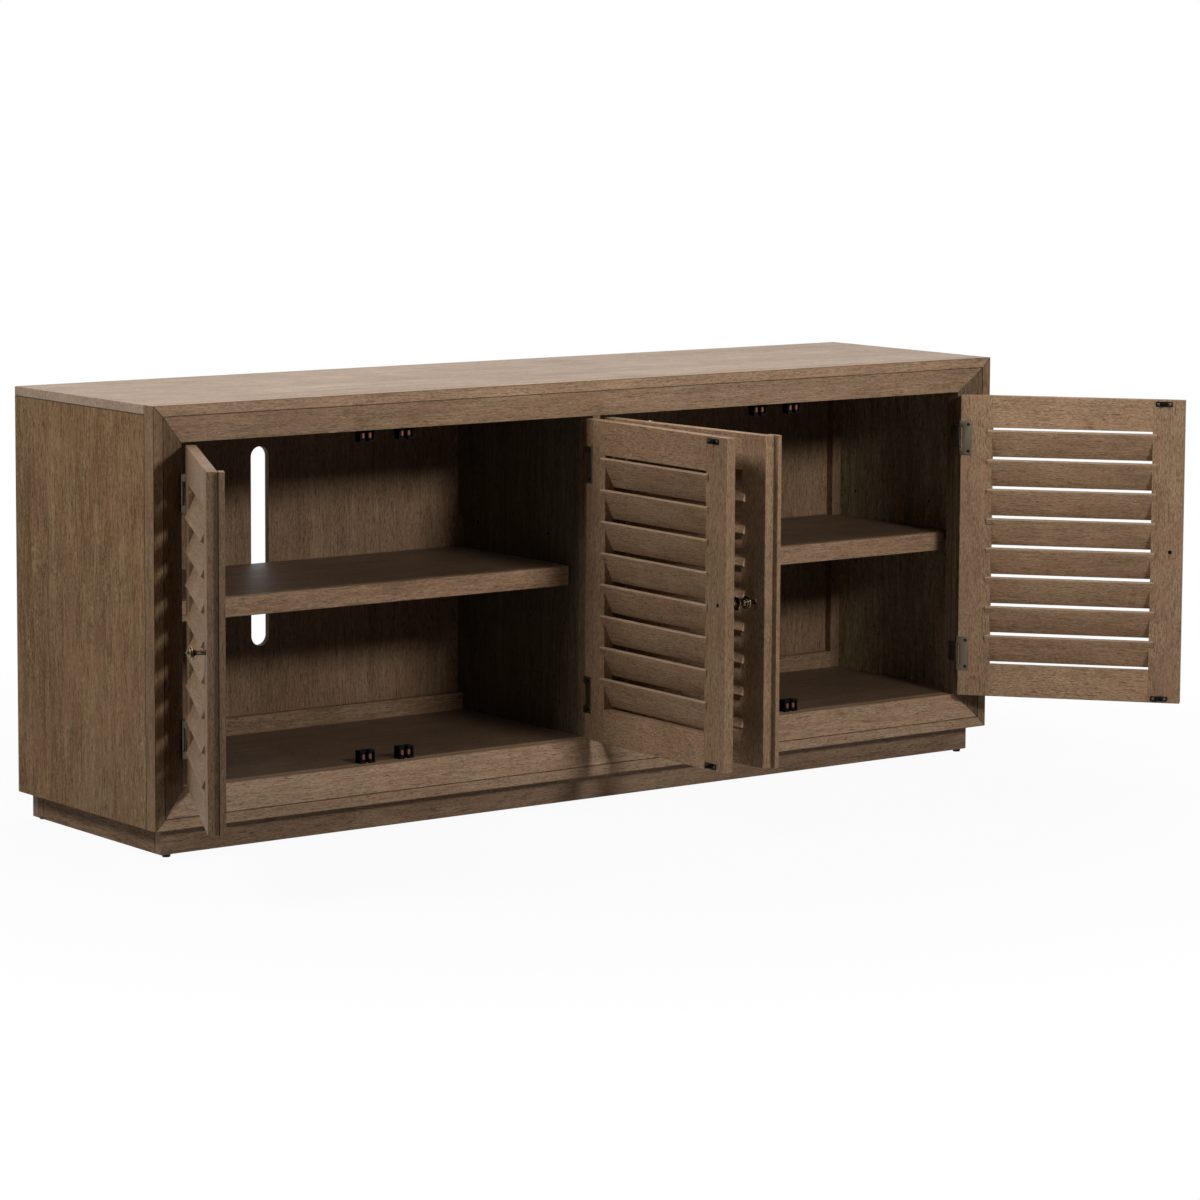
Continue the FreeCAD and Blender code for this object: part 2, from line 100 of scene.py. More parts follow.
def measure(name, description, default, **limits):
    """A property that holds a length."""
    return FloatProperty(name=name, description=description, default=default,
                         unit="LENGTH", subtype="DISTANCE", **limits)


def angle(name, description, degrees):
    """A property that holds an angle."""
    return FloatProperty(name=name, description=description, default=math.radians(degrees),
                         unit="ROTATION", subtype="ANGLE")


def stain_color(name, description, *color):
    """A property that holds a colour of the stain."""
    return FloatVectorProperty(name=name, description=description, default=color,
                               subtype="COLOR", size=3, min=0, max=1)


def lamp_power(name, description, default):
    """A property that holds a lamp's power."""
    return FloatProperty(name=name, description=description, default=default, unit="POWER")


class ConsoleOak(bpy.types.PropertyGroup):
    """Colours and grain of the stained oak"""

    dark: stain_color("Dark Grain", "Colour of the dark streaks", 0.108, 0.064, 0.035)
    middle: stain_color("Middle", "Main colour of the stain", 0.192, 0.119, 0.068)
    light: stain_color("Light Grain", "Colour of the light streaks", 0.280, 0.184, 0.112)
    warm: stain_color("Warm Grain", "Colour of the reddish bands", 0.215, 0.112, 0.066)
    pore: stain_color("Pores", "Colour of the open pores", 0.050, 0.030, 0.018)
    # Painted highlight: the lighter colour along the slats' long edges stands in for the light their
    # rounded edges catch
    edge_highlight: stain_color("Rubbed Edges", "Colour where the slats' edges are rubbed", 0.32, 0.235, 0.165)
    roughness: FloatProperty(
        name="Roughness", description="Roughness of the matt lacquer", min=0, max=1, default=0.5)
    relief: measure("Relief", "Depth of the open grain", 0.12 * mm)
    streak_pitch: measure("Streak Pitch", "Usual distance between streaks across the grain", 8 * mm,
                          min=1 * mm)
    fiber_pitch: measure("Fibre Pitch", "Usual distance between fibres across the grain", 2.4 * mm,
                         min=0.5 * mm)
    pore_pitch: measure("Pore Pitch", "Usual distance between pores across the grain", 1.3 * mm,
                        min=0.2 * mm)


class ConsoleDoor(bpy.types.PropertyGroup):
    """Sizes of one door and its slats, in the door's own frame"""

    width: measure("Width", "Width of each door", 417.25 * mm)
    height: measure("Height", "Height of each door", 568 * mm)
    bottom: measure("Bottom", "Height of the doors' lower edge above the floor", 117 * mm)
    thickness: measure("Thickness", "Thickness of the door", 18 * mm)
    stile: measure("Stile", "Width of the upright members", 59 * mm)
    rail: measure("Rail", "Height of the level members", 60 * mm)
    pin_outset: measure("Pin Outset", "Hinge pin to the door's edge", 4.5 * mm)
    pin_forward: measure("Pin Forward", "Hinge pin to the door's front face", 5 * mm)
    slat_count: IntProperty(name="Slats", description="Number of slats in a door", min=2, default=8)
    slat_width: measure("Slat Width", "Width of a slat", 56 * mm)
    slat_thickness: measure("Slat Thickness", "Thickness of a slat at its edges", 6.2 * mm)
    slat_crown: measure("Slat Crown", "How far each face of a slat swells at its middle", 0.4 * mm)
    slat_easing: measure("Slat Easing", "Radius of a slat's long edges", 3.3 * mm)
    slat_tilt: angle("Slat Tilt", "Lean of the slats", 25)
    slat_offset: measure("Slat Offset", "Rail to the middle of the nearest slat", 30.1 * mm)
    slat_housing: measure("Slat Housing", "How far a slat runs into the stiles", 8 * mm)
    knob_inset: measure("Knob Inset", "Knob to the door's free edge", 23 * mm)
    hinge_offset: measure("Hinge Offset", "Middle of a hinge to the door's nearer end", 80 * mm)
    hinge_height: measure("Hinge Height", "Height of the hinge's outer leaf", 64 * mm)
    window_height: measure("Hinge Window", "Height of the outer leaf's window", 39 * mm)


class ConsoleStudio(bpy.types.PropertyGroup):
    """Lamps, floor and camera"""

    key_power: lamp_power("Key Power", "Power of the lamp in front", 31)
    side_power: lamp_power("Side Power", "Power of the soft lamp at the left", 116)
    top_power: lamp_power("Top Power", "Power of the soft lamp overhead", 34)
    back_power: lamp_power("Back Power", "Power of the soft lamp behind", 30)
    rear_power: lamp_power("Rear Power", "Power of the lamp that lights the back and right side", 80)
    ambient: FloatProperty(
        name="Ambient", description="Level of the even light all round", min=0, default=0.02)
    lens: FloatProperty(
        name="Lens", description="Focal length for a 36 mm sensor", unit="CAMERA", default=125.675)
    rise: FloatProperty(
        name="Rise", description="Upward shift of the frame, as a share of its width",
        min=-0.2, max=0.2, default=-0.1)
    position: FloatVectorProperty(
        name="Camera", description="Where the camera stands", unit="LENGTH", subtype="TRANSLATION",
        size=3, default=(-4.4133, -6.0642, 1.3738))
    yaw: angle("Yaw", "Turn of the camera from straight on", -37.065)
    pitch: angle("Pitch", "Tip of the camera, negative down", -6.225)
    roll: angle("Roll", "Roll of the camera", -0.308)


# Small helpers for node trees

def add(tree, kind, inputs=None, **settings):
    """A new node; an input's value may be a plain value or another node's output."""
    node = tree.nodes.new(kind)
    for name, value in settings.items():
        setattr(node, name, value)
    for socket, value in (inputs or {}).items():
        if isinstance(value, bpy.types.NodeSocket):
            tree.links.new(value, node.inputs[socket])
        else:
            node.inputs[socket].default_value = value
    return node


def out(tree, kind, inputs=None, **settings):
    """The first output of a new node."""
    return add(tree, kind, inputs, **settings).outputs[0]


def calc(tree, operation, *values):
    """The output of a math node."""
    return out(tree, "ShaderNodeMath", dict(enumerate(values)), operation=operation)


def highest(tree, first, *others):
    """The highest of several values."""
    for other in others:
        first = calc(tree, "MAXIMUM", first, other)
    return first


def vector_calc(tree, operation, *values):
    """The output of a vector math node."""
    return out(tree, "ShaderNodeVectorMath", dict(enumerate(values)), operation=operation)


def vector(tree, **parts):
    """A vector put together from its parts."""
    return out(tree, "ShaderNodeCombineXYZ", parts)


def axes(tree, source):
    """The X, Y and Z outputs of a vector."""
    return add(tree, "ShaderNodeSeparateXYZ", {0: source}).outputs


def object_point(tree):
    """The shaded point in the object's own coordinates."""
    return add(tree, "ShaderNodeTexCoord").outputs["Object"]


def placed(tree, point, rotation, location):
    """A point that a mapping node has turned and moved."""
    return out(tree, "ShaderNodeMapping", {"Vector": point, "Rotation": rotation, "Location": location})


def attribute(tree, name):
    """The number that a mesh attribute gives a shader."""
    return add(tree, "ShaderNodeAttribute", attribute_name=name).outputs["Fac"]


def ease(tree, value, start, end, low=0.0, high=1.0):
    """The value's way from start to end, as one from low to high."""
    return out(tree, "ShaderNodeMapRange",
               {"Value": value, "From Min": start, "From Max": end, "To Min": low, "To Max": high})


def noise(tree, point, scale=1, detail=2, roughness=0.5):
    """The strength of a noise at a point."""
    inputs = {"Vector": point, "Scale": scale, "Detail": detail, "Roughness": roughness}
    return add(tree, "ShaderNodeTexNoise", inputs).outputs["Fac"]


def ramp(tree, value, *stops):
    """A colour ramp through pairs of position and colour."""
    node = add(tree, "ShaderNodeValToRGB", {"Fac": value})
    steps = node.color_ramp.elements
    while len(steps) < len(stops):
        steps.new(1)
    for step, (position, color) in zip(steps, stops):
        step.position = position
        step.color = (*color, 1)
    return node.outputs["Color"]


def mix_color(tree, amount, first, second, blend="MIX"):
    """One colour laid over another; either may be plain or another node's output."""
    first, second = (color if isinstance(color, bpy.types.NodeSocket) else (*color, 1)
                     for color in (first, second))
    return add(tree, "ShaderNodeMix", {0: amount, 6: first, 7: second},
               data_type="RGBA", blend_type=blend).outputs[2]


def cleared_tree(owner):
    """The emptied node tree of a material or world."""
    owner.use_nodes = True
    owner.node_tree.nodes.clear()
    return owner.node_tree


def blank_material(name):
    """A new material with its tree and its shader, which is all that the tree holds."""
    material = bpy.data.materials.new(name)
    tree = cleared_tree(material)
    surface = add(tree, "ShaderNodeBsdfPrincipled")
    add(tree, "ShaderNodeOutputMaterial", {"Surface": surface.outputs[0]})
    return material, tree, surface


def emboss(tree, surface, height, strength, depth):
    """Raises a surface where the height is high."""
    bump = out(tree, "ShaderNodeBump", {"Height": height, "Strength": strength, "Distance": depth})
    tree.links.new(bump, surface.inputs["Normal"])


def vary_roughness(tree, surface, pattern, middle, spread):
    """Lets a surface's roughness follow a pattern round a middle value."""
    roughness = calc(tree, "MULTIPLY_ADD", pattern, spread, middle - spread / 2)
    tree.links.new(roughness, surface.inputs["Roughness"])


# Where each door stands

def door_joint(door):
    return next(joint for joint in frame["joints"] if joint["child"] == door + "_door")


def door_turn(door):
    """The turn about Z that takes the closed door to where it stands."""
    joint = door_joint(door)
    return -math.radians(joint["range_deg"][0]) * joint["axis"][2]


def door_matrix(door, closed=False):
    """From the door's own frame, hinge edge at x 0 and front at y 0, to its rest or closed place."""
    sizes = bpy.context.scene.console_door
    joint = door_joint(door)
    pin = Vector((joint["pos_m"][0], joint["pos_m"][1], sizes.bottom))
    turn = Matrix.Rotation(0 if closed else door_turn(door), 4, "Z")
    side = Matrix.Diagonal((-joint["axis"][2], 1, 1, 1))
    shift = Matrix.Translation((sizes.pin_outset, sizes.pin_forward, 0))
    return Matrix.Translation(pin) @ turn @ side @ shift


def grain_place(door):
    """Rotation and location that bring a door's points back to its closed direction."""
    turn = -door_turn(door)
    pin = Vector(door_joint(door)["pos_m"])
    return (0, 0, turn), -(Matrix.Rotation(turn, 3, "Z") @ pin)


# Finishes

def oak(name, grain, rotation=(0, 0, 0), location=(0, 0, 0), shade=1.0, gloss=0.1, joints=None,
        boards=False, figure=1.0, mottle=1.0, coarse=1.0, tint=(1, 1, 1), inside=None):
    """Stained oak with its grain along one axis.

    figure and mottle set how strong the streaks and the fine specks are, and coarse how wide they run.
    joints adds dark lines, and boards gives each slat its own place in the grain and a painted highlight
    along its long edges.
    tint changes the stain's hue, and the colour for the faces that look into the case makes them lighter
    and greyer, as painted light on faces that lie in shade.
    """
    board_step, sway_reach, edge_highlight_share = (3.7, 5.3, 1.9), [20 * mm] * 3, 0.35
    stain = bpy.context.scene.console_oak
    material, tree, surface = blank_material(name)
    coordinates = object_point(tree)
    point = placed(tree, coordinates, rotation, location)
    if boards:
        step = add(tree, "ShaderNodeVectorMath", {0: board_step, "Scale": attribute(tree, "board")},
                   operation="SCALE").outputs[0]
        point = vector_calc(tree, "ADD", point, step)
    sway = add(tree, "ShaderNodeTexNoise", {"Vector": point, "Scale": 6.5, "Detail": 3}).outputs["Color"]
    centred = vector_calc(tree, "SUBTRACT", sway, (0.5, 0.5, 0.5))
    wavy = vector_calc(tree, "MULTIPLY_ADD", centred, sway_reach, point)

    def grained(along, across, detail, roughness=0.5):
        """A noise with this pitch along and across the grain."""
        scale = [1 / (across * coarse)] * 3
        scale["XYZ".index(grain)] = 1 / along
        stretched = vector_calc(tree, "MULTIPLY", wavy, scale)
        return noise(tree, stretched, detail=detail, roughness=roughness)

    def toned(color):
        return [shade * share * part for share, part in zip(tint, color)]

    bands = grained(500 * mm, 60 * mm, 2)
    streaks = grained(170 * mm, stain.streak_pitch, 3, 0.55)
    fibers = grained(50 * mm, stain.fiber_pitch, 3, 0.6)
    specks = grained(7 * mm, 2 * mm, 3, 0.75)
    clouds = noise(tree, point, scale=13, detail=3)
    layers = ((bands, 0.45 * figure), (streaks, 0.65 * figure), (fibers, 0.75 * figure),
              (specks, 1.2 * mottle), (clouds, 0.35))
    value = 0.5 - sum(weight for layer, weight in layers) / 2
    for layer, weight in layers:
        value = calc(tree, "MULTIPLY_ADD", layer, weight, value)
    color = ramp(tree, value, (0.22, toned(stain.dark)), (0.5, toned(stain.middle)),
                 (0.8, toned(stain.light)))
    warmth = ease(tree, grained(110 * mm, 17 * mm, 2), 0.42, 0.7, high=0.4)
    color = mix_color(tree, warmth, color, toned(stain.warm))
    pores = ease(tree, grained(20 * mm, stain.pore_pitch, 1), 0.58, 0.7, high=0.75)
    flecks = ease(tree, grained(38 * mm, 2.6 * mm, 1, 0.4), 0.7, 0.78, high=0.55)
    dark = highest(tree, pores, flecks, *([joints(tree, coordinates)] if joints else []))
    color = mix_color(tree, dark, color, toned(stain.pore))
    # Painted highlight: a lighter colour along each slat's long edges
    if boards:
        painted_edge_highlight = calc(tree, "MULTIPLY", attribute(tree, "wear_and_painted_highlight"), edge_highlight_share)
        color = mix_color(tree, painted_edge_highlight, color, toned(stain.edge_highlight))
    # Painted light: the faces that look into the case, which lie in shade, are made lighter and greyer
    if inside:
        off_middle = calc(tree, "ABSOLUTE", axes(tree, coordinates)["X"])
        painted_light_faces = calc(tree, "LESS_THAN", off_middle, side_middle)
        color = mix_color(tree, painted_light_faces, color, inside, "MULTIPLY")
    tree.links.new(color, surface.inputs["Base Color"])
    vary_roughness(tree, surface, value, stain.roughness + 0.02, -0.16)
    emboss(tree, surface, calc(tree, "MULTIPLY_ADD", dark, -0.8, fibers), 0.3, stain.relief)
    surface.inputs["Specular IOR Level"].default_value = gloss
    return material


def near(tree, value, place, line):
    """How dark a joint line is at a value: full close to its place, and none beyond its reach."""
    core, reach = line
    off = calc(tree, "ABSOLUTE", calc(tree, "SUBTRACT", value, place))
    return ease(tree, off, core, reach, line_strength, 0.0)


def frame_lines(tree, coordinates):
    """Dark lines along the front frame's mitres, its outer arris and its seat on the case."""
    mitre_depth, arris_depth = 4 * mm, 0.7 * mm
    parts = axes(tree, coordinates)
    inward = calc(tree, "SUBTRACT", case_right, calc(tree, "ABSOLUTE", parts["X"]))
    lift = calc(tree, "SUBTRACT", parts["Z"], (case_low + case_high) / 2)
    upward = calc(tree, "SUBTRACT", (case_high - case_low) / 2, calc(tree, "ABSOLUTE", lift))
    mitre = near(tree, calc(tree, "SUBTRACT", inward, upward), 0.0, joint_line)
    on_front = calc(tree, "LESS_THAN", parts["Y"], case_front + mitre_depth)
    mitre = calc(tree, "MULTIPLY", mitre, on_front)
    outer = near(tree, calc(tree, "MINIMUM", inward, upward), 0.0, arris_line)
    at_arris = calc(tree, "LESS_THAN", parts["Y"], case_front + arris_depth)
    outer = calc(tree, "MULTIPLY", outer, at_arris)
    seat = near(tree, parts["Y"], panel_front, seat_line)
    return highest(tree, mitre, outer, seat)


def panel_lines(tree, coordinates):
    """Dark lines where the case's panels meet the front frame and the top."""
    parts = axes(tree, coordinates)
    return highest(tree, near(tree, parts["Y"], panel_front, seat_line),
                   near(tree, parts["Z"], top_underside, joint_line))


def plinth_lines(tree, coordinates):
    """Dark lines where the plinth's long boards lap its end boards."""
    return near(tree, calc(tree, "ABSOLUTE", axes(tree, coordinates)["Y"]), -plinth_joint, lap_line)


def strip_line(door):
    """Gives the dark line between a door's back and the meeting strip that lies on it."""
    rotation, location = grain_place(door)
    sizes = bpy.context.scene.console_door
    back = sizes.pin_forward + sizes.thickness

    def lines(tree, coordinates):
        closed = placed(tree, coordinates, rotation, location)
        return near(tree, axes(tree, closed)["Y"], back, strip_seat_line)

    return lines


def metal(name, color, roughness, wear_and_painted_highlight=0.0, wear_color=(0.5, 0.45, 0.38)):
    """Metal with fine brushing and, where wanted, a worn lighter sheen in patches."""
    material, tree, surface = blank_material(name)
    coordinates = object_point(tree)
    brushed = noise(tree, vector_calc(tree, "MULTIPLY", coordinates, (900, 900, 120)), detail=3)
    patches = noise(tree, coordinates, scale=90, detail=3)
    worn = ease(tree, patches, 0.45, 0.7, high=wear_and_painted_highlight)
    tree.links.new(mix_color(tree, worn, color, wear_color), surface.inputs["Base Color"])
    vary_roughness(tree, surface, brushed, roughness, 0.22)
    emboss(tree, surface, brushed, 0.15, 0.03 * mm)
    surface.inputs["Metallic"].default_value = 1.0
    return material


def plastic(name, color, roughness):
    """Dull moulded plastic with a fine texture."""
    material, tree, surface = blank_material(name)
    coordinates = object_point(tree)
    texture = noise(tree, coordinates, scale=1400, detail=2)
    mottling = noise(tree, coordinates, scale=60, detail=2)
    shades = ramp(tree, mottling, (0.3, [0.8 * part for part in color]),
                  (0.7, [1.15 * part for part in color]))
    tree.links.new(shades, surface.inputs["Base Color"])
    vary_roughness(tree, surface, mottling, roughness, 0.2)
    emboss(tree, surface, texture, 0.2, 0.05 * mm)
    surface.inputs["Specular IOR Level"].default_value = 0.05
    return material


# How each fitting's finish is made: colour, roughness and, for worn metal, the wear and its colour
fitting_finishes = {
    "satin_steel": (metal, (0.1, 0.083, 0.06), 0.42),
    "black_steel": (metal, (0.008, 0.008, 0.007), 0.5),
    "screw_steel": (metal, (0.014, 0.012, 0.01), 0.35),
    "aged_bronze": (metal, (0.025, 0.018, 0.011), 0.18, 0.65, (0.48, 0.37, 0.2)),
    "roller_copper": (metal, (0.15, 0.058, 0.042), 0.4),
    "black_plastic": (plastic, (0.006, 0.006, 0.006), 0.5),
    "glide_plastic": (plastic, (0.03, 0.018, 0.014), 0.5),
    "dark_recess": (plastic, (0.004, 0.004, 0.004), 0.8),
}
materials = {}


def finish(key, make, *arguments, **options):
    """The finish under that key, made the first time it is asked for."""
    if key not in materials:
        materials[key] = make(key, *arguments, **options)
    return materials[key]


def fitting(key):
    """The finish of a fitting."""
    return finish(key, *fitting_finishes[key])


def cover(mesh, material):
    """Gives a mesh one finish in place of any it has."""
    mesh.materials.clear()
    mesh.materials.append(material)


def dress(nodes, key, grain, **look):
    """Gives nodes of the frame one oak finish."""
    material = finish(key, oak, grain, **look)
    for node in nodes:
        cover(frame["nodes"][node].data, material)


def add_bevel(item, width, segments, limit):
    """Rounds an object's edges that turn by more than a limit in degrees."""
    bevel = item.modifiers.new("arris", "BEVEL")
    bevel.width = width
    bevel.segments = segments
    bevel.limit_method = "ANGLE"
    bevel.angle_limit = math.radians(limit)
    return bevel


# Pieces

def new_object(name, mesh):
    item = bpy.data.objects.new(name, mesh)
    bpy.context.scene.collection.objects.link(item)
    return item


def plain_mesh(item):
    """Puts an object's finished shape into its own mesh and takes its modifiers off."""
    bpy.context.view_layer.update()
    evaluated = item.evaluated_get(bpy.context.evaluated_depsgraph_get())
    mesh = bpy.data.meshes.new_from_object(evaluated)
    item.modifiers.clear()
    item.data = mesh
    mesh.name = item.name
    return mesh


def settle(item, body, replaced=(), smooth=35):
    """Shades a finished piece, ties it to its body and hides the parts of the model it stands in for."""
    item.data.shade_smooth()
    item.data.set_sharp_from_angle(angle=math.radians(smooth))
    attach(item, body)
    if replaced:
        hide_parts(*replaced)


def place_on_door(mesh, door):
    """Takes a mesh from the door's own frame to where the door stands."""
    matrix = door_matrix(door)
    mesh.transform(matrix)
    if matrix.determinant() < 0:
        mesh.flip_normals()


def make_piece(name, mesh, material, body, replaced=(), smooth=35):
    """Makes a mesh a finished piece of one material."""
    mesh.name = name
    cover(mesh, material)
    settle(new_object(name, mesh), body, replaced, smooth)


def set_input(modifier, name, value):
    """Sets a modifier's input by the identifier of the socket of that name."""
    for socket in modifier.node_group.interface.items_tree:
        if socket.item_type == "SOCKET" and socket.in_out == "INPUT" and socket.name == name:
            modifier[socket.identifier] = value
            return
    raise KeyError(name)


def grow(item, tree, inputs):
    """Runs a geometry tree on an object with these inputs and keeps the result as its plain mesh."""
    modifier = item.modifiers.new(tree.name, "NODES")
    modifier.node_group = tree
    for name, value in inputs.items():
        set_input(modifier, name, value)
    return plain_mesh(item)


def new_tree(name, sockets):
    """A geometry tree with a geometry in and out, and the outputs of its named inputs."""
    tree = bpy.data.node_groups.new(name, "GeometryNodeTree")
    tree.interface.new_socket("Geometry", in_out="INPUT", socket_type="NodeSocketGeometry")
    tree.interface.new_socket("Geometry", in_out="OUTPUT", socket_type="NodeSocketGeometry")
    for title, kind in sockets.items():
        tree.interface.new_socket(title, in_out="INPUT", socket_type="NodeSocket" + kind)
    return tree, tree.nodes.new("NodeGroupInput").outputs


def end_tree(tree, geometry, *finishes):
    """Realizes the instances, sets the finishes and ends the tree."""
    last = out(tree, "GeometryNodeRealizeInstances", {"Geometry": geometry})
    for material, selection in finishes:
        last = out(tree, "GeometryNodeSetMaterial",
                   {"Geometry": last, "Material": material, "Selection": selection})
    add(tree, "NodeGroupOutput", {0: last})


def mark(tree, geometry, name, value, domain):
    """Stores a number on a geometry under a name."""
    return out(tree, "GeometryNodeStoreNamedAttribute",
               {"Geometry": geometry, "Name": name, "Value": value}, data_type="FLOAT", domain=domain)


def gather(tree, *shapes):
    """Joins shapes into one geometry."""
    node = tree.nodes.new("GeometryNodeJoinGeometry")
    for shape in shapes:
        tree.links.new(shape, node.inputs[0])
    return node.outputs[0]


def slat_tree():
    """A ladder of tilted slats with eased edges, marked where their edges carry a painted highlight, and
    slightly swollen faces.
    """
    cuts, edge_steps = 5, 6
    edge_highlight_from, edge_highlight_to = 1.2 * mm, 0.1 * mm
    tree, inputs = new_tree("louvre_slats", {
        "Start": "Vector", "Length": "Float", "Width": "Float", "Thickness": "Float", "Easing": "Float",
        "Crown": "Float", "Tilt": "Float", "Pitch": "Float", "Count": "Int", "Oak": "Material"})
    outline = out(tree, "GeometryNodeCurvePrimitiveQuadrilateral",
                  {"Width": inputs["Thickness"], "Height": inputs["Width"]})
    divided = out(tree, "GeometryNodeSubdivideCurve", {"Curve": outline, "Cuts": cuts})
    eased = out(tree, "GeometryNodeFilletCurve",
                {"Curve": divided, "Count": edge_steps, "Radius": inputs["Easing"],
                 "Limit Radius": True},
                mode="POLY")
    place = axes(tree, out(tree, "GeometryNodeInputPosition"))
    share = calc(tree, "DIVIDE", place["Y"], inputs["Width"])
    squared = calc(tree, "MULTIPLY", share, share)
    swell = calc(tree, "SUBTRACT", 1.0, calc(tree, "MULTIPLY", 4.0, squared))
    outward = calc(tree, "MULTIPLY", calc(tree, "SIGN", place["X"]), swell)
    offset = vector(tree, X=calc(tree, "MULTIPLY", outward, inputs["Crown"]))
    crowned = out(tree, "GeometryNodeSetPosition", {"Geometry": eased, "Offset": offset})
    path = out(tree, "GeometryNodeCurvePrimitiveLine", {"End": vector(tree, Z=inputs["Length"])})
    slat = out(tree, "GeometryNodeCurveToMesh",
               {"Curve": path, "Profile Curve": crowned, "Fill Caps": True})
    # Marks a painted highlight that grows towards each slat's long edges
    off_middle = calc(tree, "ABSOLUTE", axes(tree, out(tree, "GeometryNodeInputPosition"))["Y"])
    from_edge = calc(tree, "SUBTRACT", calc(tree, "MULTIPLY", inputs["Width"], 0.5), off_middle)
    slat = mark(tree, slat, "wear_and_painted_highlight", ease(tree, from_edge, edge_highlight_from, edge_highlight_to), "POINT")
    rungs = out(tree, "GeometryNodeMeshLine",
                {"Count": inputs["Count"], "Start Location": inputs["Start"],
                 "Offset": vector(tree, Z=inputs["Pitch"])})
    stood = out(tree, "GeometryNodeTransform", {"Geometry": slat, "Rotation": (quarter, 0, quarter)})
    lean = vector(tree, X=calc(tree, "MULTIPLY", inputs["Tilt"], -1.0))
    ladder = out(tree, "GeometryNodeInstanceOnPoints",
                 {"Points": rungs, "Instance": stood, "Rotation": lean})
    tagged = mark(tree, ladder, "board", out(tree, "GeometryNodeInputIndex"), "INSTANCE")
    end_tree(tree, tagged, (inputs["Oak"], True))
    return tree


def screw_tree():
    """Domed cross-head screws on points that carry the way they face."""
    slot_length, slot_width, slot_lift = 1.15, 0.2, 0.47
    tree, inputs = new_tree("screws", {"Radius": "Float", "Rise": "Float", "Metal": "Material",
                                       "Recess": "Material"})
    head = out(tree, "GeometryNodeMeshUVSphere", {"Segments": 20, "Rings": 10, "Radius": 1.0})
    cross = gather(tree, *(out(tree, "GeometryNodeMeshCube", {"Size": (*size, 1.0)})
                           for size in ((slot_length, slot_width), (slot_width, slot_length))))
    lifted = out(tree, "GeometryNodeTransform", {"Geometry": cross, "Translation": (0, 0, slot_lift)})
    whole = gather(tree, head, mark(tree, lifted, "cross", 1.0, "FACE"))
    flat = out(tree, "GeometryNodeTransform",
               {"Geometry": whole, "Scale": vector(tree, X=1.0, Y=1.0, Z=inputs["Rise"])})
    facing = out(tree, "GeometryNodeInputNamedAttribute", {"Name": "facing"}, data_type="FLOAT_VECTOR")
    aimed = out(tree, "FunctionNodeAlignRotationToVector", {"Vector": facing}, axis="Z")
    points = out(tree, "GeometryNodeMeshToPoints", {"Mesh": inputs["Geometry"]})
    screws = out(tree, "GeometryNodeInstanceOnPoints",
                 {"Points": points, "Instance": flat, "Rotation": aimed, "Scale": inputs["Radius"]})
    is_cross = out(tree, "GeometryNodeInputNamedAttribute", {"Name": "cross"}, data_type="FLOAT")
    # The cross slots take the recess finish: dark bars of painted shade in place of the slots' hollows
    end_tree(tree, screws, (inputs["Metal"], True),
             (inputs["Recess"], calc(tree, "GREATER_THAN", is_cross, 0.5)))
    return tree


def make_screws(name, spots, material, head, body):
    """One piece of equal screws; each spot gives a screw's place and the way it faces."""
    mesh = bpy.data.meshes.new(name)
    mesh.from_pydata([place for place, facing in spots], [], [])
    facings = [part for place, facing in spots for part in facing]
    mesh.attributes.new("facing", "FLOAT_VECTOR", "POINT").data.foreach_set("vector", facings)
    item = new_object(name, mesh)
    radius, rise = head
    grow(item, bpy.data.node_groups.get("screws") or screw_tree(),
         {"Radius": radius, "Rise": rise, "Metal": fitting(material), "Recess": fitting("dark_recess")})
    settle(item, body)


def lathe(outline, segments, matrix):
    """A closed turned mesh; the outline gives radius and height along Z, from the axis back to it."""
    shape = bmesh.new()
    rings = []
    for radius, height in outline:
        if radius == 0:
            rings.append([shape.verts.new((0, 0, height))])
            continue
        ring = []
        for number in range(segments):
            turn = 2 * math.pi * number / segments
            ring.append(shape.verts.new((radius * math.cos(turn), radius * math.sin(turn), height)))
        rings.append(ring)
    for low, high in zip(rings, rings[1:]):
        for number in range(segments):
            following = (number + 1) % segments
            corners = []
            for vert in (low[number % len(low)], low[following % len(low)],
                         high[following % len(high)], high[number % len(high)]):
                if vert not in corners:
                    corners.append(vert)
            shape.faces.new(corners)
    bmesh.ops.recalc_face_normals(shape, faces=shape.faces)
    shape.transform(matrix)
    mesh = bpy.data.meshes.new("turned")
    shape.to_mesh(mesh)
    shape.free()
    return mesh


def turned(outline, segments, matrix):
    """A turned mesh whose outline is in millimetres."""
    return lathe([(radius * mm, height * mm) for radius, height in outline], segments, matrix)


def rod(radius, low, high, x, y):
    """An upright rod with softened ends, as a mesh."""
    soft = min(radius, high - low) * 0.15
    outline = [(0, low), (radius - soft, low), (radius, low + soft), (radius, high - soft),
               (radius - soft, high), (0, high)]
    return lathe(outline, 32, Matrix.Translation((x, y, 0)))


def arc(center, radius, start, end, steps):
    """Points of an arc in the plane of radius and height, angles in degrees."""
    points = []
    for number in range(steps + 1):
        turn = math.radians(start + (end - start) * number / steps)
        points.append((center[0] + radius * math.cos(turn), center[1] + radius * math.sin(turn)))
    return points


def merged_node(node):
    """A node's shape with its loose triangles merged, for mesh code."""
    shape = bmesh.new()
    shape.from_mesh(frame["nodes"][node].data)
    bmesh.ops.remove_doubles(shape, verts=shape.verts, dist=0.01 * mm)
    return shape


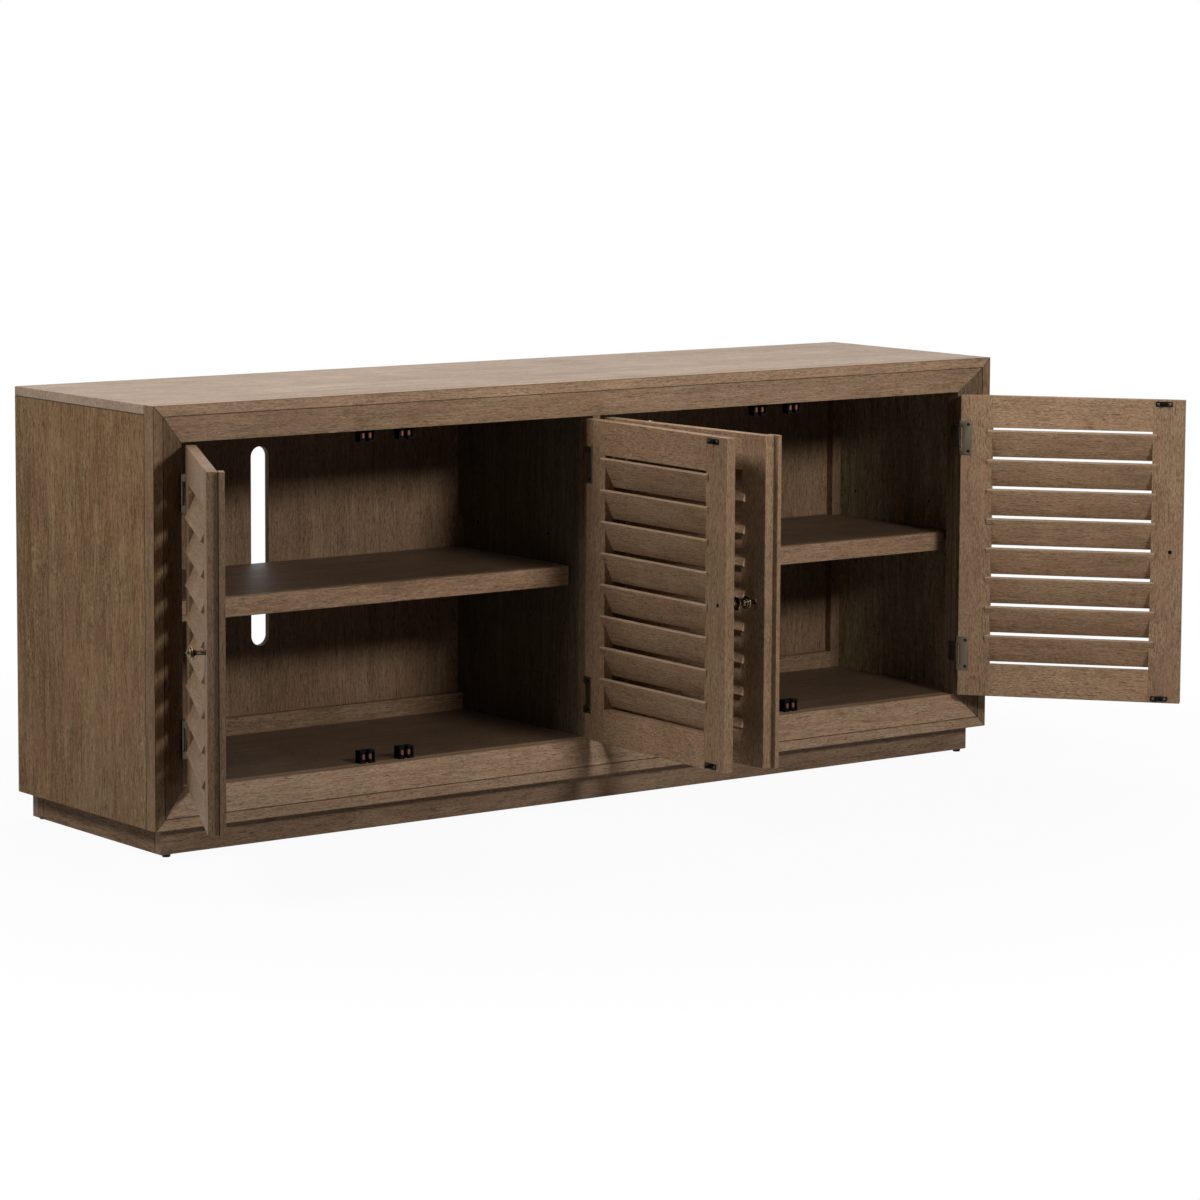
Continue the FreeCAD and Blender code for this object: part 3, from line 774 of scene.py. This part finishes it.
def eased_copy(node, width, segments=2):
    """A node's shape as a mesh of its own with its sharp edges rounded."""
    shape = merged_node(node)
    bmesh.ops.dissolve_limit(shape, angle_limit=math.radians(1), verts=shape.verts, edges=shape.edges)
    mesh = bpy.data.meshes.new(node + "_eased")
    shape.to_mesh(mesh)
    shape.free()
    item = new_object(node + "_eased", mesh)
    add_bevel(item, width, segments, 40)
    result = plain_mesh(item)
    bpy.data.objects.remove(item)
    return result


def joined(meshes):
    """One mesh from several."""
    shape = bmesh.new()
    for mesh in meshes:
        shape.from_mesh(mesh)
    whole = bpy.data.meshes.new("joined")
    shape.to_mesh(whole)
    shape.free()
    return whole


def islands(shape):
    """The vertices of a mesh's separate pieces."""
    left = set(shape.verts)
    found = []
    while left:
        stack = [left.pop()]
        piece = list(stack)
        while stack:
            for edge in stack.pop().link_edges:
                for vert in edge.verts:
                    if vert in left:
                        left.remove(vert)
                        stack.append(vert)
                        piece.append(vert)
        found.append(piece)
    return sorted(found, key=lambda piece: tuple(min(vert.co for vert in piece)))


class CONSOLE_OT_finish_case(bpy.types.Operator):
    """Give the case, shelves and plinth their oak"""

    bl_idname = "console.finish_case"
    bl_label = "Finish Case"

    def execute(self, context):
        # The side panels' faces that look into the case get painted light, lighter and greyer than the
        # outer faces
        dress(["left_side_panel", "right_side_panel"], "oak_side", "Z", shade=0.98, gloss=0.03,
              joints=panel_lines, coarse=1.6, figure=1.15, mottle=1.2, tint=(1, 1, 0.88),
              inside=(1.5, 1.95, 2.3))
        # Painted light: the top is made lighter and paler than the rest of the case, for the sheen and
        # the stronger light on it
        dress(["top_panel"], "oak_top", "X", location=(0.4, 1.3, 2.1), shade=1.2, gloss=0.7,
              joints=panel_lines, tint=(1, 1.05, 1.07))
        dress(["center_stile"], "oak_upright", "Z")
        # Painted shade: the divider is made darker and greyer, for the deep shade it stands in
        dress(["center_divider"], "oak_divider", "Z", shade=0.6, tint=(0.95, 1.2, 1.25))
        # Painted shade: the back panel and battens are darkened, for the shade within the case
        dress(["back_panel", "back_battens"], "oak_inner_upright", "Z", shade=0.83, figure=0.75)
        dress(["back_cleats"], "oak_cleat", "X", shade=0.9)
        # Painted shade: the floor, shelves and hidden rails are darkened, for the shade within the case
        dress(["bottom_panel", "left_shelf", "right_shelf", "hidden_rails"], "oak_inner_level", "X",
              shade=0.52, gloss=0.25, figure=0.8)
        # Painted light: the shelf lips are made lighter, for the light on their fronts
        dress(["shelf_lips"], "oak_lip", "X", shade=1.28, gloss=0.2)
        dress(["plinth_long_boards"], "oak_level", "X", shade=0.9, gloss=0.2, joints=plinth_lines)
        dress(["plinth_end_boards", "plinth_brace"], "oak_crosswise", "Y", gloss=0.03,
              joints=plinth_lines, coarse=1.5)
        # Painted light and shade: the front frame's level members are made lighter, for the light on
        # them, and the bevel's upright members darker, for the doors' shadows on them
        for nodes, key, grain, shade, gloss, tint in (
            (["band_rails", "bevel_rails"], "oak_frame_level", "X", 1.48, 0.25, (1, 1.04, 1.07)),
            (["band_stiles"], "oak_band_upright", "Z", 0.97, 0.05, (1, 1.03, 0.97)),
            (["bevel_stiles"], "oak_bevel_upright", "Z", 0.66, 0.05, (1, 1.05, 1.05)),
        ):
            dress(nodes, key, grain, shade=shade, gloss=gloss, joints=frame_lines, figure=0.8, tint=tint)
            for node in nodes:
                self.soften(frame["nodes"][node])
        cover(frame["nodes"]["floor_glides"].data, fitting("glide_plastic"))
        cover(frame["nodes"]["shelf_pins"].data, fitting("satin_steel"))
        return {"FINISHED"}

    def soften(self, item):
        """Rounds the arrises of a node that stays."""
        weld = item.modifiers.new("weld", "WELD")
        weld.merge_threshold = 0.01 * mm
        bevel = add_bevel(item, 0.5 * mm, 2, 30)
        bevel.use_clamp_overlap = False


class CONSOLE_OT_finish_doors(bpy.types.Operator):
    """Give the doors' frames and meeting strips their oak"""

    bl_idname = "console.finish_doors"
    bl_label = "Finish Doors"

    def execute(self, context):
        grain_step = 1.7
        for number, door in enumerate(door_names):
            rotation, location = grain_place(door)
            location = location + Vector((0, 0, grain_step * (number + 1)))
            look = {"rotation": rotation, "location": location, "figure": 0.35, "mottle": 1.25,
                    "tint": door_tint}
            # Painted light and shade: each door's tone is partly its own and partly set for how brightly
            # it is lit, and its rails are made lighter than its stiles
            shade = door_tones_and_painted_light[door]
            dress([door + "_hinge_stile", door + "_free_stile"], door + "_oak_upright", "Z",
                  shade=shade, **look)
            dress([door + "_rails"], door + "_oak_level", "X", shade=level_painted_light * shade, **look)
            if door + "_astragal" in frame["nodes"]:
                dress([door + "_astragal"], door + "_oak_strip", "Z", shade=shade,
                      joints=strip_line(door), **look)
        return {"FINISHED"}


class CONSOLE_OT_slats(bpy.types.Operator):
    """Fill each door with its tilted slats"""

    bl_idname = "console.slats"
    bl_label = "Louvre Slats"

    def execute(self, context):
        sizes = context.scene.console_door
        tree = slat_tree()
        first = sizes.rail + sizes.slat_offset
        start = sizes.stile - sizes.slat_housing
        for door in door_names:
            rotation, location = grain_place(door)
            # Painted light: the slats are made lighter than the stiles, and carry a painted highlight
            # along their edges
            wood = finish(door + "_oak_slats", oak, "X", rotation, location,
                          shade=level_painted_light * door_tones_and_painted_light[door], figure=0.6, boards=True, tint=door_tint)
            item = new_object(door + "_slats", bpy.data.meshes.new(door + "_slats"))
            mesh = grow(item, tree, {
                "Start": (start, sizes.thickness / 2, first),
                "Length": sizes.width - 2 * start,
                "Width": sizes.slat_width,
                "Thickness": sizes.slat_thickness,
                "Easing": sizes.slat_easing,
                "Crown": sizes.slat_crown,
                "Tilt": sizes.slat_tilt,
                "Pitch": (sizes.height - 2 * first) / (sizes.slat_count - 1),
                "Count": sizes.slat_count,
                "Oak": wood,
            })
            place_on_door(mesh, door)
            settle(item, door + "_door", [door + "_louvers"])
        return {"FINISHED"}


# Outlines of the wooden rim and dark disc of the screw's bore behind each knob and of the spare holes'
# dark discs, in millimetres from the face; the dark discs are painted shade in place of the holes' depth
bore_rim = ((0, -0.3), (4.9, -0.3), (4.9, 0.05), (4.5, 0.3), (4.0, 0.3), (3.7, 0.05), (0, 0.05))
bore = ((0, -0.2), (3.8, -0.2), (3.8, 0.1), (1.2, 0.18), (0, 0.18))
pin_hole = ((0, -0.2), (2.7, -0.2), (2.7, 0.1), (0, 0.15))


def knob_outline():
    """Foot, waisted neck, two turned rings and a domed tip, in millimetres from the door's face."""
    points = [(0, 0), (4.9, 0), (4.9, 0.5), (4.4, 1.1), (4.0, 1.9), (3.7, 3.2), (3.5, 6.0), (3.4, 10.0),
              (3.6, 13.5), (4.2, 16.2), (5.4, 18.2), (7.0, 18.9), (7.4, 19.4), (9.4, 19.5)]
    points += arc((10.2, 21.2), 1.5, -70, 80, 8)
    points += [(9.3, 22.9), (7.9, 23.0), (7.6, 23.4)]
    points += arc((7.6, 24.6), 1.2, -60, 80, 6)
    points += [(6.6, 25.8), (5.1, 25.9), (4.9, 26.3)]
    points += arc((0, 24.6), 5.0, 20, 90, 9)[1:-1]
    points.append((0, 29.6))
    return points


class CONSOLE_OT_knobs(bpy.types.Operator):
    """Turn the ringed knobs, and mark each bore of the screws that hold them with a wooden rim round a
    dark disc of painted shade
    """

    bl_idname = "console.knobs"
    bl_label = "Knobs"

    def execute(self, context):
        sizes = context.scene.console_door
        x, z = sizes.width - sizes.knob_inset, sizes.height / 2
        forward = Matrix.Translation((x, 0, z)) @ Matrix.Rotation(quarter, 4, "X")
        back = Matrix.Translation((x, sizes.thickness, z)) @ Matrix.Rotation(-quarter, 4, "X")
        for door in door_names:
            wood = materials[door + "_oak_upright"]
            for name, outline, segments, place, material, slot, replaced, smooth in (
                ("_turned_knob", knob_outline(), 48, forward, fitting("aged_bronze"), "aged_knob",
                 [door + "_knob"], 28),
                ("_knob_bore_rim", bore_rim, 32, back, wood, "door_oak", [], 35),
                ("_knob_bore", bore, 32, back, fitting("dark_recess"), "strike_steel", [], 35),
            ):
                mesh = turned(outline, segments, place)
                place_on_door(mesh, door)
                make_piece(door + name, mesh, material, door + "_door", replaced, smooth)
        return {"FINISHED"}


class CONSOLE_OT_hinges(bpy.types.Operator):
    """Make the wrap-around hinges with round knuckles and capped pins"""

    bl_idname = "console.hinges"
    bl_label = "Hinges"

    def execute(self, context):
        sizes = context.scene.console_door
        reach = sizes.hinge_height / 2
        window = sizes.window_height / 2
        cap = reach + cap_height
        inner = window - knuckle_gap
        fixed = [eased_copy("hinge_frame_leaves", 0.4 * mm)]
        for door in door_names:
            moving = [eased_copy(door + "_hinge_leaves", 0.6 * mm)]
            for level in (sizes.hinge_offset, sizes.height - sizes.hinge_offset):
                for low, high, radius in (
                    (-reach, -window, knuckle_radius), (window, reach, knuckle_radius),
                    (-cap, -reach, cap_radius), (reach, cap, cap_radius),
                ):
                    moving.append(self.on_pin(door, radius, level + low, level + high))
                fixed.append(self.on_pin(door, knuckle_radius, level - inner, level + inner))
            make_piece(door + "_hinges", joined(moving), fitting("satin_steel"), door + "_door",
                       [door + "_hinge_leaves"])
        make_piece("case_hinge_leaves", joined(fixed), fitting("satin_steel"), "case",
                   ["hinge_frame_leaves"])
        return {"FINISHED"}

    def on_pin(self, door, radius, low, high):
        """A rod round the pins of a door."""
        sizes = bpy.context.scene.console_door
        mesh = rod(radius, low, high, -sizes.pin_outset, -sizes.pin_forward)
        place_on_door(mesh, door)
        return mesh


class CONSOLE_OT_screws(bpy.types.Operator):
    """Set the screws of the hinges and strikes, and mark the spare holes of the shelf pins with dark
    discs of painted shade
    """

    bl_idname = "console.screws"
    bl_label = "Screws and Pin Holes"

    def execute(self, context):
        sizes = context.scene.console_door
        leaf_face, leaf_inset, leaf_lift = sizes.thickness + 2 * mm, 14.5 * mm, 25 * mm
        case_face, case_depth, case_lift = -0.65 * mm, 9 * mm, 11 * mm
        strike_face, strike_level = sizes.thickness + 1.5 * mm, 8 * mm
        strike_middle, strike_side = sizes.width - 38.5 * mm, 10.5 * mm
        fixed = []
        for door in door_names:
            leaves = []
            for level in (sizes.hinge_offset, sizes.height - sizes.hinge_offset):
                for lift in (-leaf_lift, leaf_lift):
                    place = (leaf_inset, leaf_face, level + lift)
                    leaves.append(self.spot(door, place, (0, 1, 0)))
                for lift in (-case_lift, case_lift):
                    place = (case_face, case_depth, level + lift)
                    fixed.append(self.spot(door, place, (1, 0, 0), closed=True))
            make_screws(door + "_hinge_screws", leaves, "screw_steel", leaf_screw, door + "_door")
            strikes = []
            for level in (strike_level, sizes.height - strike_level):
                for side in (-strike_side, strike_side):
                    place = (strike_middle + side, strike_face, level)
                    strikes.append(self.spot(door, place, (0, 1, 0)))
            make_screws(door + "_strike_screws", strikes, "satin_steel", strike_screw, door + "_door")
        make_screws("case_hinge_screws", fixed, "satin_steel", case_screw, "case")
        # Each spare hole is a dark disc: painted shade in place of the hole's depth
        for number, (place, facing) in enumerate(self.pin_holes()):
            turn = Vector(facing).to_track_quat("Z", "Y").to_matrix().to_4x4()
            hole = turned(pin_hole, 24, Matrix.Translation(place) @ turn)
            make_piece(f"spare_pin_hole_{number + 1}", hole, fitting("dark_recess"), "case")
        return {"FINISHED"}

    def spot(self, door, place, facing, closed=False):
        """A screw's place and the way it faces, from those in the frame of the door, open or closed."""
        matrix = door_matrix(door, closed)
        return matrix @ Vector(place), (matrix.to_3x3() @ Vector(facing)).normalized()

    def pin_holes(self):
        """Places and directions of the spare holes for the shelf pins."""
        hole_height, hole_front, hole_back = 466 * mm, -78 * mm, 138 * mm
        divider_left, divider_right = (corner.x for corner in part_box("center_divider"))
        side_left, side_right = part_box("left_side_panel")[1].x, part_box("right_side_panel")[0].x
        return [((x, y, hole_height), (way, 0, 0))
                for x, way in ((side_left, 1), (divider_left, -1), (divider_right, 1), (side_right, -1))
                for y in (hole_front, hole_back)]


class CONSOLE_OT_catches(bpy.types.Operator):
    """Make the roller catches and the strikes that meet them"""

    bl_idname = "console.catches"
    bl_label = "Catches and Strikes"

    def execute(self, context):
        cap_share, cap_inset = 0.2, 0.2 * mm
        make_piece("catch_bodies", eased_copy("catch_housings", 0.6 * mm, 3), fitting("black_plastic"),
                   "case", ["catch_housings"])
        shape = merged_node("catch_rollers")
        rollers = []
        caps = []
        for island in islands(shape):
            low = Vector(map(min, zip(*[vert.co for vert in island])))
            high = Vector(map(max, zip(*[vert.co for vert in island])))
            x, y = ((low + high) / 2).xy
            radius, cap = (high.x - low.x) / 2, cap_share * (high.z - low.z)
            rollers.append(rod(radius, low.z + cap, high.z - cap, x, y))
            for bottom, top in ((low.z, low.z + cap), (high.z - cap, high.z)):
                caps.append(rod(radius - cap_inset, bottom, top, x, y))
        shape.free()
        make_piece("copper_rollers", joined(rollers), fitting("roller_copper"), "case",
                   ["catch_rollers"])
        make_piece("roller_caps", joined(caps), fitting("black_plastic"), "case")
        for door in door_names:
            make_piece(door + "_strike_plates", eased_copy(door + "_strikes", 0.25 * mm),
                       fitting("black_steel"), door + "_door", [door + "_strikes"])
        return {"FINISHED"}


class CONSOLE_OT_stage(bpy.types.Operator):
    """Set the floor, backdrop, lamps and camera"""

    bl_idname = "console.stage"
    bl_label = "Studio"

    def execute(self, context):
        scene = context.scene
        studio = scene.console_studio
        reach = 30
        corners = [(-reach, -reach, 0), (reach, -reach, 0), (reach, reach, 0), (-reach, reach, 0)]
        mesh = bpy.data.meshes.new("floor")
        mesh.from_pydata(corners, [], [(0, 1, 2, 3)])
        cover(mesh, self.floor_finish())
        new_object("floor", mesh)
        scene.world = self.sky(studio)
        middle = (0, 0, 0.4)
        # Each lamp's power, its place, the point it faces, its size and its spread in degrees
        for name, power, place, aim, size, spread in (
            ("key_lamp", studio.key_power, (0.16, -4.6, 2.38), (0.2, 0, 1.6), 0.8, 70),
            ("side_lamp", studio.side_power, (-3.5, -0.1, 3.25), middle, 1.5, 180),
            ("top_lamp", studio.top_power, (0, 0, 3.4), middle, 3.0, 180),
            ("back_lamp", studio.back_power, (1.85, 3.2, 3.0), middle, 2.0, 180),
            ("rear_lamp", studio.rear_power, (3.9, 2.6, 2.2), middle, 2.0, 180),
        ):
            data = bpy.data.lights.new(name, "AREA")
            data.energy = power
            data.shape = "DISK"
            data.size = size
            data.spread = math.radians(spread)
            lamp = new_object(name, data)
            lamp.location = place
            lamp.visible_glossy = not name.startswith(("back", "rear"))
            lamp.rotation_euler = (Vector(aim) - Vector(place)).to_track_quat("-Z", "Y").to_euler()
        self.camera(scene, studio)
        scene.view_settings.view_transform = "Standard"
        return {"FINISHED"}

    def camera(self, scene, studio):
        """The camera, turned by roll, then pitch, then yaw from looking level along Y."""
        data = bpy.data.cameras.new("camera")
        data.lens = studio.lens
        data.sensor_width = 36
        data.shift_y = studio.rise
        data.clip_start, data.clip_end = 0.1, 100
        turn = Matrix.Rotation(studio.yaw, 4, "Z") @ Matrix.Rotation(studio.pitch, 4, "X")
        turn = turn @ Matrix.Rotation(studio.roll, 4, "Y") @ Matrix.Rotation(quarter, 4, "X")
        scene.camera = new_object("camera", data)
        scene.camera.matrix_world = Matrix.Translation(studio.position) @ turn

    def seen_directly(self, tree):
        """1 for rays from the camera, mirrors and glass."""
        rays = add(tree, "ShaderNodeLightPath").outputs
        return highest(tree, rays["Is Camera Ray"], rays["Is Glossy Ray"], rays["Is Transmission Ray"])

    def floor_finish(self):
        """Pale matt floor that keeps part of the shadow near the console and is plain white beyond."""
        gray, fade_start, fade_end, white_share = 0.45, 1.0, 1.9, 0.95
        material = bpy.data.materials.new("pale_floor")
        tree = cleared_tree(material)
        matt = out(tree, "ShaderNodeBsdfDiffuse", {"Color": (gray, gray, gray, 1)})
        white = out(tree, "ShaderNodeEmission", {"Color": (1, 1, 1, 1), "Strength": 1.0})
        away = add(tree, "ShaderNodeVectorMath", {0: object_point(tree)},
                   operation="LENGTH").outputs["Value"]
        fade = ease(tree, away, fade_start, fade_end, white_share)
        amount = calc(tree, "MULTIPLY", self.seen_directly(tree), fade)
        mixed = out(tree, "ShaderNodeMixShader", {0: amount, 1: matt, 2: white})
        add(tree, "ShaderNodeOutputMaterial", {"Surface": mixed})
        return material

    def sky(self, studio):
        """A faint even light that is seen as plain white."""
        world = bpy.data.worlds.new("studio")
        tree = cleared_tree(world)
        even, white = (out(tree, "ShaderNodeBackground", {"Color": (1, 1, 1, 1), "Strength": strength})
                       for strength in (studio.ambient, 1.0))
        mixed = out(tree, "ShaderNodeMixShader", {0: self.seen_directly(tree), 1: even, 2: white})
        add(tree, "ShaderNodeOutputWorld", {"Surface": mixed})
        return world


class CONSOLE_PT_panel(bpy.types.Panel):
    """Sizes, finishes and pieces of the console"""

    bl_idname = "CONSOLE_PT_panel"
    bl_label = "Console"
    bl_space_type = "VIEW_3D"
    bl_region_type = "UI"
    bl_category = "Console"

    def draw(self, context):
        layout = self.layout
        scene = context.scene
        for group in (scene.console_oak, scene.console_door, scene.console_studio):
            column = layout.column(align=True)
            for name in group.__annotations__:
                column.prop(group, name)
        for operator in operators:
            layout.operator(operator.bl_idname)


operators = (
    CONSOLE_OT_finish_case,
    CONSOLE_OT_finish_doors,
    CONSOLE_OT_slats,
    CONSOLE_OT_knobs,
    CONSOLE_OT_hinges,
    CONSOLE_OT_screws,
    CONSOLE_OT_catches,
    CONSOLE_OT_stage,
)
classes = (ConsoleOak, ConsoleDoor, ConsoleStudio, *operators, CONSOLE_PT_panel)


def register():
    for item in classes:
        bpy.utils.register_class(item)
    bpy.types.Scene.console_oak = PointerProperty(type=ConsoleOak)
    bpy.types.Scene.console_door = PointerProperty(type=ConsoleDoor)
    bpy.types.Scene.console_studio = PointerProperty(type=ConsoleStudio)


def unregister():
    del bpy.types.Scene.console_studio
    del bpy.types.Scene.console_door
    del bpy.types.Scene.console_oak
    for item in reversed(classes):
        bpy.utils.unregister_class(item)


def main():
    register()
    for operator in operators:
        group, name = operator.bl_idname.split(".")
        getattr(getattr(bpy.ops, group), name)()


if __name__ == "__main__":
    main()
